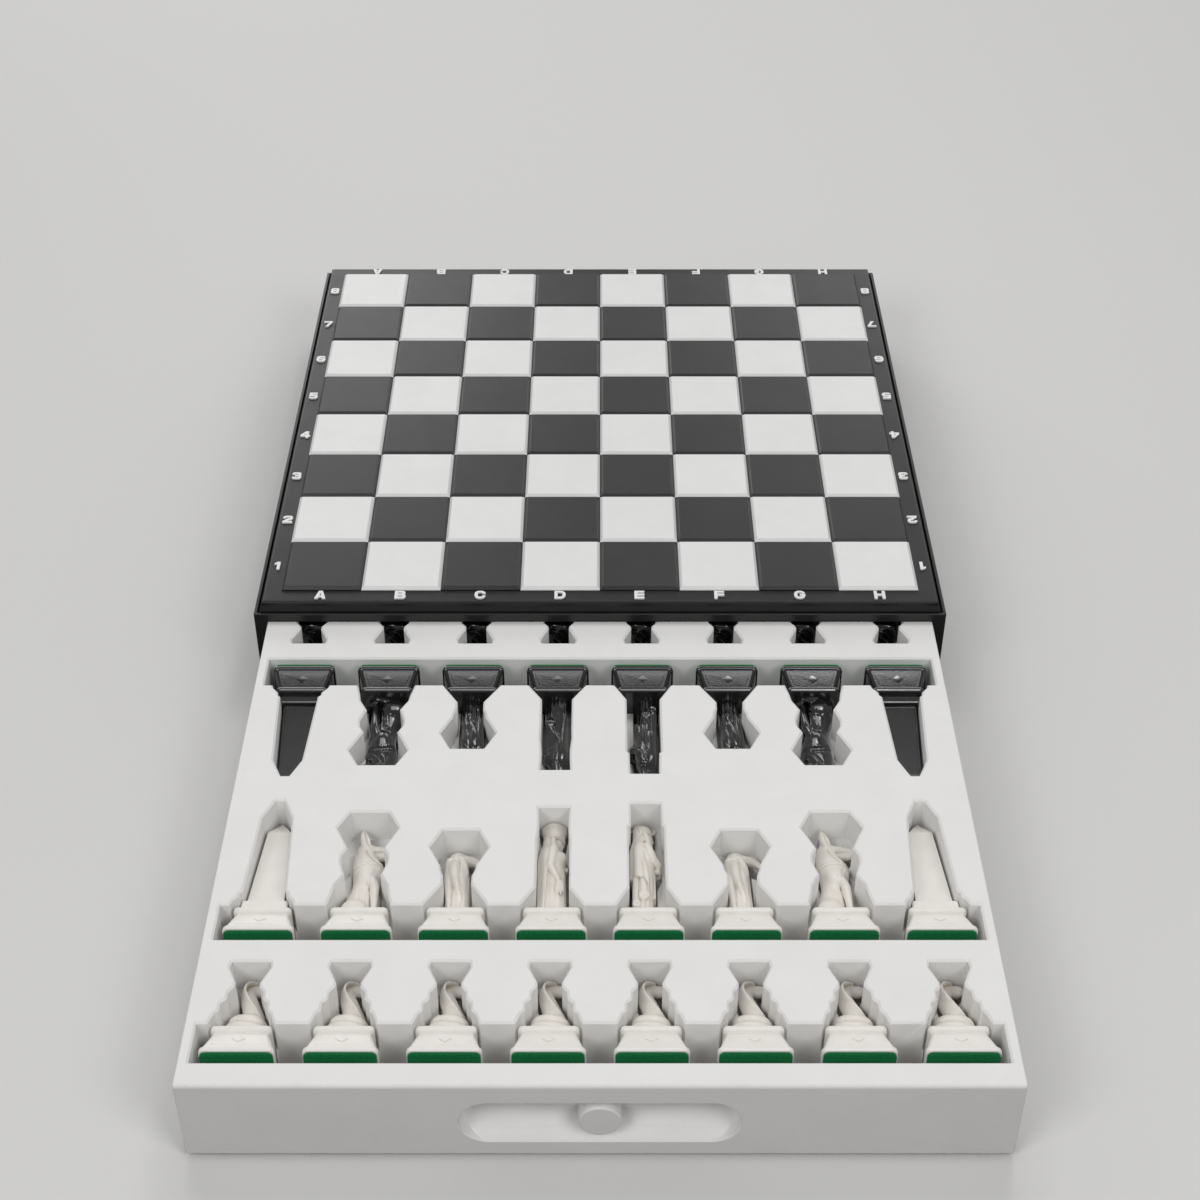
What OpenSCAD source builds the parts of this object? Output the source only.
// Chess box: a board on a low case, with one drawer that holds all 32 chessmen.
// Millimetres. Origin: centre of the case's underside. The drawer opens towards -Y.
// The chessmen lie on their sides: white with heads towards +Y, black towards -Y.

/* [Board] */
// Side of one playing square
square = 40; // [38.5:0.5:48]
// Height of a tile above the border
tile_h = 2; // [1.2:0.1:4]
// Bevel along a tile's upper edges
tile_bevel = 1.1; // [0.2:0.1:1.1]
// Joint line between neighbouring tiles
tile_gap = 0.1; // [0.1:0.05:0.6]
// Flat border between the tiles and the moulded edge
border = 7.9; // [7:0.1:14]
// Radius of the moulding's upper edge
mould_r = 1.3; // [0.6:0.1:2]
// Height of the upright step below that radius
mould_step = 1; // [0.5:0.1:2]
// Width of the slope at the foot of the moulding
slope_w = 1.3; // [0.6:0.1:2]
// Height of the slope at the foot of the moulding
slope_h = 2.6; // [1:0.1:3]
// Thickness of the board panel
panel_t = 7.2; // [7:0.1:10]
// Height of the raised letters and numbers
mark_h = 6; // [4:0.5:6.5]
// How far the letters and numbers stand up from the border
mark_relief = 0.8; // [0.4:0.1:1.5]

/* [Case] */
// Thickness of the case's walls
wall = 6; // [5:0.5:10]
// Thickness of the bottom panel
bottom_t = 2; // [1.5:0.5:6]
// Width of the bottom panel's seat in the walls
bottom_seat = 3; // [2:0.5:4]
// Width of the thin rim that stands round the board panel
rim_w = 1.7; // [1:0.1:2.5]
// Gap between that rim and the board panel
rim_gap = 0.7; // [0.3:0.1:1.2]
// Depth of the seat that holds the board panel
panel_seat = 2.2; // [1:0.1:3]
// Height of the rail over the drawer
rail_h = 4.8; // [4:0.1:10]

/* [Drawer] */
// Height of the drawer
drawer_h = 43; // [36:0.5:60]
// Gap between the drawer and each side wall
side_gap = 0.5; // [0.3:0.1:1]
// Gap under the drawer
under_gap = 0.3; // [0.3:0.1:1]
// Gap between the drawer and the rail over it
over_gap = 0.4; // [0.3:0.1:1]
// Space behind the closed drawer
rear_gap = 5.6; // [1:0.1:15]
// How far the drawer stands open
drawer_open = 285.6; // [0:0.1:287]
// Thickness of the drawer's front, and of its back
front_t = 11.9; // [11:0.1:20]
// Thickness of the drawer's sides, beside the long troughs
side_t = 4.4; // [3:0.1:6]
// Width of the long troughs that take the bases
trough_w = 19.5; // [18:0.1:24]
// Plain strip between the pawns' pockets and the next trough
strip_w = 12.1; // [6:0.1:16]
// Depth of the pockets beside the figures
pocket_depth = 17.5; // [14:0.5:20]
// Radius of the drawer's upper front edge
front_r = 1.7; // [0.5:0.1:3]
// Room between the outermost bases and the ends of their trough
end_room = 2.65; // [0.5:0.05:6]

/* [Handle] */
// Length of the recess in the drawer's front
recess_l = 112.2; // [80:0.2:200]
// Height of the recess
recess_h = 24.1; // [18:0.1:28]
// Depth of the recess at its middle
recess_depth = 9; // [5:0.5:9]
// Height of the recess's centre above the table
recess_z = 22.5; // [17:0.5:28]
// Radius of the round knob
knob_r = 8.6; // [6:0.1:11]
// Rounding of the knob's rim
knob_round = 0.9; // [0.4:0.1:2]
// How far the knob's face lies behind the drawer's front
knob_inset = 0.3; // [0:0.1:2]

/* [Chessmen] */
// Width of a base across its flange
base_w = 30.3; // [28:0.1:31]
// Radius of a base's corners
base_corner = 2.4; // [1:0.1:5]
// Thickness of the felt under a base
felt_t = 1.6; // [0.6:0.1:3]
// How far the felt lies inside the flange
felt_inset = 0.6; // [0.2:0.1:2]
// Height of a base, with its felt
base_h = 17; // [16:0.1:19]
// Height of the flange
flange_h = 2.6; // [1.5:0.1:4]
// How far the flange stands out past the tapered block
flange_lip = 0.85; // [0.3:0.05:2]
// How far each side of that block leans in
taper_lean = 3.1; // [0:0.1:5]
// How far the cornice stands out past the head of the block
cornice_lip = 1.2; // [0:0.1:1.5]
// Height of the cornice
cornice_h = 3; // [2:0.1:4]
// Room between the felt and the trough's near wall
finger_room = 3.9; // [2:0.1:8]
// Room between a figure's head and the end of its pocket
head_room = 1.2; // [0.5:0.1:3]
// Running gap round a chessman in its pocket
man_gap = 0.3; // [0.3:0.05:1]
// Room between a figure and the walls of its channel
figure_room = 0.8; // [0.5:0.1:1]
// Height of the pawn
pawn_h = 47; // [44:0.5:48]
// Height of the rook
rook_h = 77.7; // [70:0.1:79]
// Height of the knight
knight_h = 70.4; // [66:0.1:72]
// Height of the bishop
bishop_h = 59.3; // [56:0.1:61]
// Height of the queen
queen_h = 73.6; // [70:0.1:75]
// Height of the king
king_h = 76.1; // [72:0.1:77.5]
// Width of the rook's plinth
plinth_w = 20; // [17:0.1:21]
// Height of the rook's plinth
plinth_h = 6; // [3:0.1:9]
// Width of the rook's obelisk at its foot
obelisk_w0 = 16.1; // [12:0.1:18]
// Width of the rook's obelisk under its point
obelisk_w1 = 10.2; // [6:0.1:11]
// Height of the obelisk's point
pyramid_h = 7.1; // [3:0.1:10]

/* [Hidden] */
$fn = 48;

// How far a cutting shape runs past the face that it cuts
past = 1;
// How far one cut reaches into the next
lip = 0.02;
// The line of glue between felt and base
glue = 0.05;
// Gap round the knob in its seat
knob_seat_gap = 0.1;
// Kinds of chessman, in the order of the back rank
KINDS = ["rook", "knight", "bishop", "queen", "king", "bishop", "knight", "rook"];
// Colours
case_black = [0.05, 0.05, 0.05];
tile_black = [0.1, 0.1, 0.1];
tile_white = [0.88, 0.88, 0.87];
drawer_white = [0.86, 0.86, 0.85];
ivory = [0.88, 0.85, 0.8];
ebony = [0.03, 0.03, 0.035];

// The board's and the case's plan
field = 8 * square;
panel_half = field / 2 + border + mould_r + slope_w;
case_half = panel_half + rim_gap + rim_w;
bay_half = case_half - wall;

// Heights, from the table up
drawer_z0 = bottom_t + under_gap;
drawer_z1 = drawer_z0 + drawer_h;
rail_z = drawer_z1 + over_gap;
rim_z = rail_z + rail_h;
seat_z = rim_z - panel_seat;
border_z = seat_z + panel_t;
// The middle of the border, from the board's centre
mark_line = field / 2 + border / 2;

// The drawer's plan: u is measured from its front face towards its back
drawer_w = 2 * (bay_half - side_gap);
drawer_l = case_half + bay_half - rear_gap;
front_y = -case_half - drawer_open;
trough_half = drawer_w / 2 - side_t;
pitch = (trough_half - end_room - base_w / 2) / 3.5;

// Where the chessmen lie
axis_z = drawer_z1 - man_gap / 2 - base_w / 2;
trough_z = axis_z - base_w / 2 - man_gap;
pocket_z = drawer_z1 - pocket_depth;
pawn_trough = front_t;
main_trough = pawn_trough + finger_room + pocket_end("pawn") + strip_w;
pawn_face = pawn_trough + finger_room;
main_face = main_trough + finger_room;

// The bases
taper_w0 = base_w - 2 * flange_lip;
taper_w1 = taper_w0 - 2 * taper_lean;
cornice_w = taper_w1 + 2 * cornice_lip;

// The field that a letter is drawn on: its height and width, and the widths of an
// upright and a level stroke
gh = 6;
gw = 5.6;
st = 1.6;
bar = 1.25;

function man_height(kind) =
    kind == "rook" ? rook_h : kind == "knight" ? knight_h : kind == "bishop" ? bishop_h :
    kind == "queen" ? queen_h : kind == "king" ? king_h : pawn_h;

// Where the end of a pocket lies, from the felt
function pocket_end(kind) = man_height(kind) + head_room;

// Turns [half width, per cent of the way from the base's top to end] into [half width, height]
function raised(points, end) = [for (p = points) [p[0], base_h + (end - base_h) * p[1] / 100]];

// One half of each pocket's outline, [half width, height above the felt]. It starts in the
// trough, just wide enough for the base, and then follows the figure.
function pocket_half(kind) =
    let (mouth = cornice_w / 2 + 1.3, edge = base_h - 1.4)
    concat([[mouth, felt_t + flange_h], [mouth, edge]], pocket_sides(kind));

function pocket_sides(kind) =
    let (c = cornice_w / 2 + 0.4, end = pocket_end(kind), step = base_h + plinth_h)
    kind == "rook" ? concat([[c + 0.3, base_h + 0.7], [plinth_w / 2 + 0.4, step - 2.1],
        [plinth_w / 2 + 0.4, step - 0.3], [obelisk_w0 / 2 + 1, step + 0.9]],
        raised([[obelisk_w1 / 2 + 1.6, 82.7], [2, 100]], end)) :
    kind == "knight" ? raised([[c + 0.6, 0], [12.1, 9.5], [11.4, 17.8], [7.9, 29.9],
        [10.3, 43.8], [10.1, 50.9], [7.9, 59], [13.7, 81.9], [8.6, 100]], end) :
    kind == "bishop" ? raised([[c + 0.2, 0], [6.2, 24.8], [6.2, 36.3], [7.5, 44.8],
        [7.7, 50.3], [13, 75.6], [7.9, 100]], end) :
    kind == "queen" ? raised([[c, 0], [7.2, 15.2], [7.1, 47.6], [7.3, 62.3], [6.6, 76.5],
        [6.6, 85.1], [6.8, 92.6], [7.1, 100]], end) :
    kind == "king" ? raised([[c, 0], [7.9, 14.8], [7.9, 75.6], [6.9, 76.9], [6.7, 100]], end) :
    raised([[c, 0], [12.6, 2.6], [11.4, 12.5], [9.8, 17.3], [9.6, 29.8], [7.4, 36.5],
        [7.2, 48.4], [5.1, 57.1], [5, 64.1], [8.6, 90.4], [8, 100]], end);

// Side outline of each figure, [forwards, height], from the back of its foot
function figure_side(kind) = raised(
    kind == "knight" ? [[-8.4, 0], [-7.6, 13], [-4.6, 32], [-5.8, 45], [-6.2, 68], [-4.6, 81],
        [-3.6, 100], [-2.2, 100], [0.4, 84], [5, 83], [11.8, 78], [10.6, 74], [7, 69], [7.2, 57],
        [6.4, 30], [8.8, 4], [8.8, 0]] :
    kind == "bishop" ? [[-4.4, 0], [-5.4, 33], [-6, 62], [-5.4, 87], [-1.6, 100], [1.6, 98],
        [6, 83], [10, 70], [9.4, 68], [4.6, 75], [5, 33], [5, 0]] :
    kind == "queen" ? [[-6.1, 0], [-6.3, 61], [-4.6, 75], [-4.4, 83], [-5.7, 100], [5.9, 100],
        [4.6, 81], [3.8, 73], [6.2, 63], [6, 50], [6.1, 0]] :
    kind == "king" ? [[-7, 0], [-7.3, 74], [-6.1, 78], [-5.9, 97], [-3, 100], [0.6, 98],
        [3.6, 95], [3.4, 79], [4.6, 68], [6.1, 56], [6, 47], [3.9, 39], [3.7, 0]] :
    [[-9, 0], [-9, 15], [-6.6, 29], [-1.6, 38], [-4.3, 63], [-4.6, 90], [-2.4, 100],
        [4, 100], [8, 92], [7, 85], [4.2, 77], [4.4, 60], [6.4, 37], [6.6, 29], [9, 15],
        [9, 0]],
    man_height(kind));

// Half of each figure's front outline, [half width, height]
function figure_front(kind) = raised(
    kind == "knight" ? [[8, 0], [8, 17], [5.6, 37], [6.2, 59], [4.6, 83], [4.2, 100]] :
    kind == "bishop" ? [[7, 0], [6.4, 33], [7.4, 64], [4.6, 76], [3.6, 100]] :
    kind == "queen" ? [[7.6, 0], [6.6, 36], [7.6, 65], [5, 76], [5.7, 100]] :
    kind == "king" ? [[8, 0], [7, 36], [8.2, 69], [6, 80], [3, 100]] :
    [[9, 0], [9, 15], [6, 33], [4.4, 42], [6.2, 70], [5, 93], [3, 100]],
    man_height(kind));

// The widest half width of a figure, which its channel has to clear
function figure_lateral(kind) =
    kind == "rook" ? plinth_w / 2 : max([for (p = figure_front(kind)) p[0]]);

// The rook: a stepped plinth and an obelisk with a small pyramid on top
function rook_side() =
    let (b = base_h, s = base_h + plinth_h)
    [[-plinth_w / 2, b], [-plinth_w / 2, s], [-obelisk_w0 / 2, s],
        [-obelisk_w1 / 2, rook_h - pyramid_h], [0, rook_h],
        [obelisk_w1 / 2, rook_h - pyramid_h], [obelisk_w0 / 2, s],
        [plinth_w / 2, s], [plinth_w / 2, b]];

// --- Helpers -------------------------------------------------------------

function unit(v) = v / norm(v);

// Moves each side of a closed outline outwards by d; the outline runs clockwise
function grown(points, d) =
    let (n = len(points))
    [for (i = [0 : n - 1])
        let (
            a = unit(points[i] - points[(i + n - 1) % n]),
            b = unit(points[(i + 1) % n] - points[i]),
            na = [-a[1], a[0]],
            nb = [-b[1], b[0]]
        )
        points[i] + d * (na + nb) / (1 + na * nb)];

// Points along an arc, or the corner itself when the radius is nothing
function arc(centre, r, from, steps = 6) =
    r > 0 ? [for (i = [0 : steps]) let (a = from + 90 * i / steps) centre + r * [cos(a), sin(a)]] :
    [centre];

// Outline of a box with its lower left corner at [x, y], and corners of radius left and right
function round_box(x, y, w, h, left, right) = concat(
    arc([x + left, y + left], left, 180),
    arc([x + w - right, y + right], right, 270),
    arc([x + w - right, y + h - right], right, 0),
    arc([x + left, y + h - left], left, 90));

// A block that narrows evenly from one square to another
module frustum(w0, w1, h) {
    a = w0 / 2;
    b = w1 / 2;
    polyhedron(
        points = [[-a, -a, 0], [a, -a, 0], [a, a, 0], [-a, a, 0],
            [-b, -b, h], [b, -b, h], [b, b, h], [-b, b, h]],
        faces = [[0, 1, 2, 3], [4, 7, 6, 5], [0, 4, 5, 1], [1, 5, 6, 2], [2, 6, 7, 3],
            [3, 7, 4, 0]]);
}

module slab(x, y, w, h) translate([x, y]) square([w, h]);

module box_outline(x, y, w, h, left, right) polygon(round_box(x, y, w, h, left, right));

// --- Case and board ------------------------------------------------------

module case_walls() {
    color(case_black) difference() {
        translate([-case_half, -case_half, 0]) cube([2 * case_half, 2 * case_half, rim_z]);
        // the bay, open to the front under the rail
        translate([-bay_half, -case_half - past, -past])
            cube([2 * bay_half, case_half + past + bay_half, rail_z + past]);
        translate([-bay_half, -bay_half, 0]) cube([2 * bay_half, 2 * bay_half, rim_z + past]);
        // seat of the board panel
        seat_half = panel_half + rim_gap;
        translate([-seat_half, -seat_half, seat_z])
            cube([2 * seat_half, 2 * seat_half, panel_seat + past]);
        // seat of the bottom panel
        bottom_half = bay_half + bottom_seat;
        translate([-bottom_half, -case_half - past, -past])
            cube([2 * bottom_half, case_half + past + bottom_half, bottom_t + past]);
    }
}

module case_bottom() {
    half = bay_half + bottom_seat - tile_gap;
    color(case_black) translate([-half, -case_half, 0])
        cube([2 * half, case_half + half, bottom_t]);
}

// Section through the whole width of the board panel, with its moulded edges
module panel_section() {
    flat_half = field / 2 + border;
    rise = panel_t - mould_r - mould_step - slope_h;
    right = concat(
        [[panel_half, 0], [panel_half, rise], [flat_half + mould_r, rise + slope_h]],
        arc([flat_half, panel_t - mould_r], mould_r, 0));
    left = [for (i = [len(right) - 1 : -1 : 0]) [-right[i][0], right[i][1]]];
    polygon(concat(right, left));
}

module board_panel() {
    length = 2 * case_half;
    color(case_black) translate([0, 0, seat_z]) intersection() {
        rotate([90, 0, 0]) linear_extrude(length, center = true) panel_section();
        rotate([90, 0, 90]) linear_extrude(length, center = true) panel_section();
    }
}

module tile() {
    w = square - tile_gap;
    translate([-w / 2, -w / 2, 0]) cube([w, w, tile_h - tile_bevel]);
    translate([0, 0, tile_h - tile_bevel]) frustum(w, w - 2 * tile_bevel, tile_bevel);
}

// The tiles of one colour: dark where file and rank add up to an even number
module tiles(odd) {
    for (file = [0 : 7])
        for (rank = [0 : 7])
            if ((file + rank) % 2 == odd)
                translate([(file - 3.5) * square, (rank - 3.5) * square, border_z]) tile();
}

module dark_tiles() color(tile_black) tiles(0);

module light_tiles() color(tile_white) tiles(1);

// --- Letters and numbers, drawn on a field 6 high ------------------------

module letter_a() difference() {
    polygon([[0, 0], [gw / 2 - 1, gh], [gw / 2 + 1, gh], [gw, 0]]);
    polygon([[st, -past], [st + 0.5, bar], [gw - st - 0.5, bar], [gw - st, -past]]);
    polygon([[st + 0.8, 2.3], [gw / 2, 4.6], [gw - st - 0.8, 2.3]]);
}

module letter_b() difference() {
    union() {
        box_outline(0, 0, gw, 3.4, 0, 1.5);
        box_outline(0, 2.6, gw - 0.3, 3.4, 0, 1.5);
    }
    box_outline(st, bar, gw - 2 * st, 1.1, 0, 0.5);
    box_outline(st, gh - bar - 1.1, gw - 2 * st - 0.3, 1.1, 0, 0.5);
}

module letter_c() difference() {
    box_outline(0, 0, gw, gh, 2.5, 2.5);
    box_outline(st, bar, gw - 2 * st, gh - 2 * bar, 1.1, 1.1);
    slab(gw - st - 0.1, 2.2, st + 0.2, 1.6);
}

module letter_d() difference() {
    box_outline(0, 0, gw, gh, 0, 2.7);
    box_outline(st, bar, gw - 2 * st, gh - 2 * bar, 0, 1.1);
}

module letter_e() difference() {
    slab(0, 0, gw - 0.6, gh);
    slab(st, bar, gw, 1.12);
    slab(st, gh - bar - 1.12, gw, 1.12);
}

module letter_f() difference() {
    slab(0, 0, gw - 0.6, gh);
    slab(st, -past, gw, past + 2.37);
    slab(st, gh - bar - 1.12, gw, 1.12);
}

module letter_g() {
    difference() {
        box_outline(0, 0, gw, gh, 2.5, 2.5);
        box_outline(st, bar, gw - 2 * st, gh - 2 * bar, 1.1, 1.1);
        slab(gw - st - 0.1, 3.3, st + 0.2, 0.8);
    }
    slab(gw / 2, 2.2, gw / 2, bar);
}

module letter_h() difference() {
    slab(0, 0, gw, gh);
    slab(st, -past, gw - 2 * st, past + 2.37);
    slab(st, gh - 2.37, gw - 2 * st, past + 2.37);
}

module digit_1() {
    slab(2, 0, st, gh);
    polygon([[2.1, gh], [0.7, 5], [0.7, 3.8], [2.1, 4.6]]);
}

module digit_2() {
    difference() {
        box_outline(0, 2.4, gw - 0.4, 3.6, 1.7, 1.7);
        box_outline(st, 2.4 + bar, gw - 0.4 - 2 * st, 1.1, 0.5, 0.5);
        slab(-past, 2, past + 2.7, 2.1);
    }
    polygon([[0, 0], [0, bar], [2.6, 3.65], [4.4, 2.9], [2.3, bar], [2.3, 0]]);
    slab(0, 0, gw - 0.4, bar);
}

module digit_3() difference() {
    union() {
        box_outline(0.1, 2.6, gw - 0.7, 3.4, 1.5, 1.5);
        box_outline(0, 0, gw - 0.4, 3.4, 1.6, 1.6);
    }
    box_outline(st, bar, gw - 0.4 - 2 * st, 1.1, 0.5, 0.5);
    box_outline(st, gh - bar - 1.1, gw - 0.6 - 2 * st, 1.1, 0.5, 0.5);
    slab(-past, 1.8, past + st, 2.4);
}

module digit_4() {
    slab(2.9, 0, st, gh);
    slab(0, 1.2, gw - 0.2, bar);
    polygon([[0, 1.2], [0, 2.5], [2.7, gh], [4.2, gh], [3, 4.2], [1.6, 2.3]]);
}

module digit_5() {
    slab(0.3, gh - bar, gw - 1, bar);
    slab(0.3, 2.6, st, 3);
    difference() {
        box_outline(0, 0, gw - 0.4, 3.9, 1.7, 1.7);
        box_outline(st, bar, gw - 0.4 - 2 * st, 1.4, 0.6, 0.6);
        slab(-past, bar + 0.1, past + st + 0.1, 1.2);
    }
}

module digit_6() difference() {
    box_outline(0, 0, gw - 0.4, gh, 2, 1.8);
    box_outline(st, bar, gw - 0.4 - 2 * st, 1.2, 0.5, 0.5);
    slab(st, bar + 2.35, gw, 0.95);
}

module digit_7() {
    slab(0, gh - bar, gw - 0.4, bar);
    polygon([[3.4, gh - bar + 0.1], [gw - 0.4, gh - bar + 0.1], [2.9, 0], [1.1, 0]]);
}

module digit_8() difference() {
    union() {
        box_outline(0.1, 2.6, gw - 0.6, 3.4, 1.5, 1.5);
        box_outline(0, 0, gw - 0.4, 3.4, 1.6, 1.6);
    }
    box_outline(st, bar, gw - 0.4 - 2 * st, 1.1, 0.5, 0.5);
    box_outline(st + 0.1, gh - bar - 1.1, gw - 0.6 - 2 * st, 1.1, 0.5, 0.5);
}

module letter(i) {
    if (i == 0) letter_a();
    if (i == 1) letter_b();
    if (i == 2) letter_c();
    if (i == 3) letter_d();
    if (i == 4) letter_e();
    if (i == 5) letter_f();
    if (i == 6) letter_g();
    if (i == 7) letter_h();
}

module digit(i) {
    if (i == 0) digit_1();
    if (i == 1) digit_2();
    if (i == 2) digit_3();
    if (i == 3) digit_4();
    if (i == 4) digit_5();
    if (i == 5) digit_6();
    if (i == 6) digit_7();
    if (i == 7) digit_8();
}

// A raised mark of the wanted height, centred on its place on the border
module raised_mark() {
    k = mark_h / gh;
    translate([-k * gw / 2, -mark_h / 2, 0]) scale(k) linear_extrude(mark_relief / k) children();
}

module letters(side) {
    color(tile_white)
        for (i = [0 : 7])
            translate([(i - 3.5) * square, side * mark_line, border_z])
                rotate([0, 0, side > 0 ? 180 : 0]) raised_mark() letter(i);
}

module numbers(side) {
    color(tile_white)
        for (i = [0 : 7])
            translate([side * mark_line, (i - 3.5) * square, border_z])
                rotate([0, 0, side > 0 ? 180 : 0]) raised_mark() digit(i);
}

module near_letters() letters(-1);

module far_letters() letters(1);

module left_numbers() numbers(-1);

module right_numbers() numbers(1);

// --- Drawer --------------------------------------------------------------

function man_x(i) = (i - 3.5) * pitch;

// Everything that one row of chessmen takes out of the drawer; y stands for u here.
// The back half's rows are measured from the drawer's back.
module row_cut(start, kinds, back) {
    trough_y = back ? drawer_l - start - trough_w : start;
    translate([-trough_half, trough_y, trough_z])
        cube([2 * trough_half, trough_w, drawer_z1 + past - trough_z]);
    for (i = [0 : 7])
        in_row(i, start + finger_room, back) {
            pocket(kinds[i]);
            channel(kinds[i]);
        }
}

// Puts its children where the felt of the man in file i lies, with y running up that man
module in_row(i, u, back) {
    translate([man_x(i), back ? drawer_l - u : u, 0]) rotate([0, 0, back ? 180 : 0]) children();
}

// The shaped pocket beside a chessman, with its flat floor; y runs up the chessman
module pocket(kind) {
    half = pocket_half(kind);
    n = len(half);
    translate([0, 0, pocket_z]) linear_extrude(pocket_depth + past)
        polygon([for (k = [0 : 2 * n - 1])
            let (p = k < n ? half[k] : half[2 * n - 1 - k]) [k < n ? -p[0] : p[0], p[1]]]);
}

// Room for the lower half of a chessman, under the pockets' floor; y runs up the chessman
module channel(kind) {
    base_half = cornice_w / 2 + man_gap;
    translate([-base_half, felt_t + flange_h, trough_z])
        cube([2 * base_half, base_h + man_gap - felt_t - flange_h, pocket_z - trough_z + lip]);
    floor_z = axis_z - figure_lateral(kind) - figure_room;
    side = kind == "rook" ? rook_side() : figure_side(kind);
    translate([0, 0, floor_z]) linear_extrude(pocket_z - floor_z + lip)
        polygon(grown(side, figure_room));
}

module handle_recess() {
    half = recess_h / 2;
    // radius of the cove, from its chord and its depth
    cove_r = (half * half + recess_depth * recess_depth) / (2 * recess_depth);
    intersection() {
        // the rounded opening in the front
        union() {
            translate([-recess_l / 2 + half, -past, -half])
                cube([recess_l - recess_h, past + front_t, recess_h]);
            for (side = [-1, 1])
                translate([side * (recess_l / 2 - half), -past, 0])
                    rotate([-90, 0, 0]) cylinder(r = half, h = past + front_t);
        }
        // the cove along it
        translate([0, recess_depth - cove_r, 0]) rotate([0, 90, 0])
            cylinder(r = cove_r, h = recess_l + past, center = true, $fn = 96);
    }
    // flat seat of the knob
    translate([0, -past, 0]) rotate([-90, 0, 0])
        cylinder(r = knob_r + knob_seat_gap, h = past + recess_depth);
}

// Takes the square edge off the drawer's upper front
module front_edge_cut() {
    length = drawer_w + 2 * past;
    translate([0, front_r, drawer_z1 - front_r]) rotate([0, 90, 0]) difference() {
        translate([-front_r - past, -front_r - past, -length / 2])
            cube([front_r + past, front_r + past, length]);
        cylinder(r = front_r, h = length + past, center = true);
    }
}

module drawer_tray() {
    pawns = [for (i = [0 : 7]) "pawn"];
    color(drawer_white) translate([0, front_y, 0]) difference() {
        translate([-drawer_w / 2, 0, drawer_z0]) cube([drawer_w, drawer_l, drawer_h]);
        for (back = [false, true]) {
            row_cut(pawn_trough, pawns, back);
            row_cut(main_trough, KINDS, back);
        }
        translate([0, 0, recess_z]) handle_recess();
        front_edge_cut();
    }
}

module drawer_knob() {
    length = recess_depth - knob_inset;
    color(drawer_white) translate([0, front_y + recess_depth, recess_z]) rotate([90, 0, 0])
        rotate_extrude() polygon(concat(
            [[0, 0], [knob_r, 0]],
            arc([knob_r - knob_round, length - knob_round], knob_round, 0),
            [[0, length]]));
}

// --- Chessmen, standing: z up from the felt, x forwards ------------------

module felt_pad() {
    w = base_w - 2 * felt_inset;
    r = base_corner - felt_inset;
    linear_extrude(felt_t - glue) box_outline(-w / 2, -w / 2, w, w, r, r);
}

module base() {
    taper_h = base_h - felt_t - flange_h - cornice_h;
    taper_z = felt_t + flange_h;
    translate([0, 0, felt_t]) linear_extrude(flange_h)
        box_outline(-base_w / 2, -base_w / 2, base_w, base_w, base_corner, base_corner);
    translate([0, 0, taper_z]) frustum(taper_w0, taper_w1, taper_h);
    translate([-cornice_w / 2, -cornice_w / 2, taper_z + taper_h])
        cube([cornice_w, cornice_w, cornice_h]);
}

module rook_figure() {
    shaft_z = base_h + plinth_h;
    shaft_h = rook_h - pyramid_h - shaft_z;
    translate([-plinth_w / 2, -plinth_w / 2, base_h]) cube([plinth_w, plinth_w, plinth_h]);
    translate([0, 0, shaft_z]) frustum(obelisk_w0, obelisk_w1, shaft_h);
    translate([0, 0, shaft_z + shaft_h]) obelisk_top();
}

module obelisk_top() {
    a = obelisk_w1 / 2;
    polyhedron(
        points = [[-a, -a, 0], [a, -a, 0], [a, a, 0], [-a, a, 0], [0, 0, pyramid_h]],
        faces = [[0, 1, 2, 3], [0, 4, 1], [1, 4, 2], [2, 4, 3], [3, 4, 0]]);
}

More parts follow.
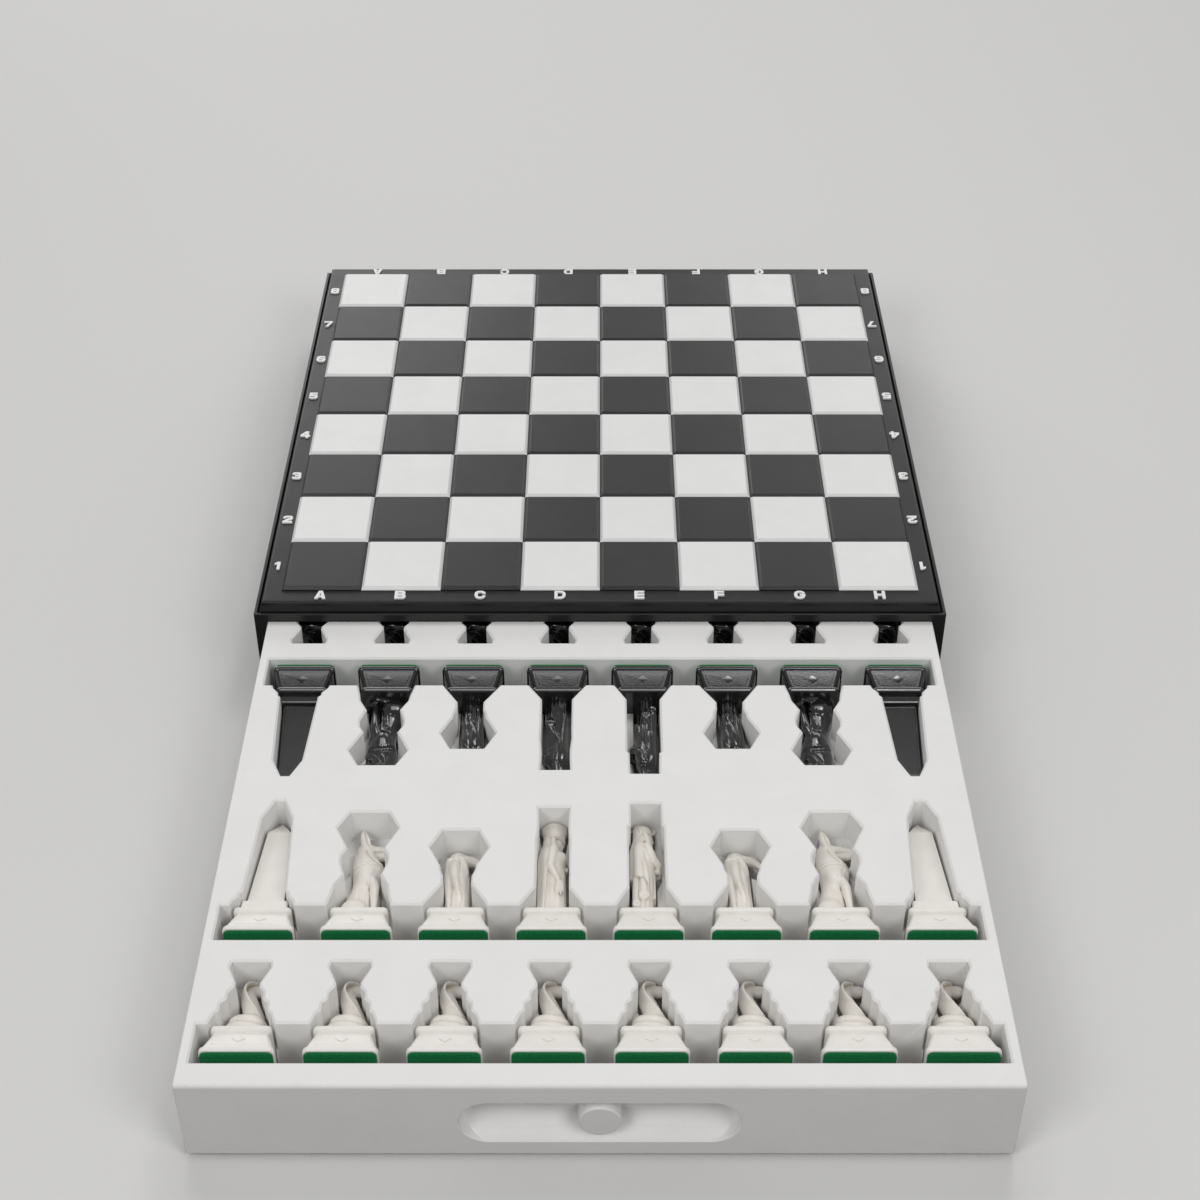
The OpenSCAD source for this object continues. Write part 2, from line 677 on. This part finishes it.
// A figure that has the wanted outline from the side and from the front
module outlined_figure(kind) {
    half = figure_front(kind);
    n = len(half);
    front = [for (k = [0 : 2 * n - 1])
        let (p = k < n ? half[k] : half[2 * n - 1 - k]) [k < n ? p[0] : -p[0], p[1]]];
    reach = 2 * base_w;
    intersection() {
        rotate([90, 0, 0]) linear_extrude(reach, center = true) polygon(figure_side(kind));
        rotate([90, 0, 90]) linear_extrude(reach, center = true) polygon(front);
    }
}

module chessman(kind, tint) {
    color([0.05, 0.3, 0.15]) felt_pad();
    color(tint) {
        base();
        if (kind == "rook") rook_figure();
        else outlined_figure(kind);
    }
}

// A chessman lying in the drawer, in file i, with its felt at u
module lying(kind, i, u, back, tint) {
    translate([0, front_y, axis_z]) in_row(i, u, back)
        rotate([-90, 0, 0]) chessman(kind, tint);
}

module white_main(i) lying(KINDS[i], i, main_face, false, ivory);

module black_main(i) lying(KINDS[i], i, main_face, true, ebony);

module white_pawn(i) lying("pawn", i, pawn_face, false, ivory);

module black_pawn(i) lying("pawn", i, pawn_face, true, ebony);

case_walls();
case_bottom();
board_panel();
dark_tiles();
light_tiles();
near_letters();
far_letters();
left_numbers();
right_numbers();
drawer_tray();
drawer_knob();
white_main(0);  // white_rook_a
white_main(1);  // white_knight_b
white_main(2);  // white_bishop_c
white_main(3);  // white_queen
white_main(4);  // white_king
white_main(5);  // white_bishop_f
white_main(6);  // white_knight_g
white_main(7);  // white_rook_h
white_pawn(0);  // white_pawn_a
white_pawn(1);  // white_pawn_b
white_pawn(2);  // white_pawn_c
white_pawn(3);  // white_pawn_d
white_pawn(4);  // white_pawn_e
white_pawn(5);  // white_pawn_f
white_pawn(6);  // white_pawn_g
white_pawn(7);  // white_pawn_h
black_main(0);  // black_rook_a
black_main(1);  // black_knight_b
black_main(2);  // black_bishop_c
black_main(3);  // black_queen
black_main(4);  // black_king
black_main(5);  // black_bishop_f
black_main(6);  // black_knight_g
black_main(7);  // black_rook_h
black_pawn(0);  // black_pawn_a
black_pawn(1);  // black_pawn_b
black_pawn(2);  // black_pawn_c
black_pawn(3);  // black_pawn_d
black_pawn(4);  // black_pawn_e
black_pawn(5);  // black_pawn_f
black_pawn(6);  // black_pawn_g
black_pawn(7);  // black_pawn_h
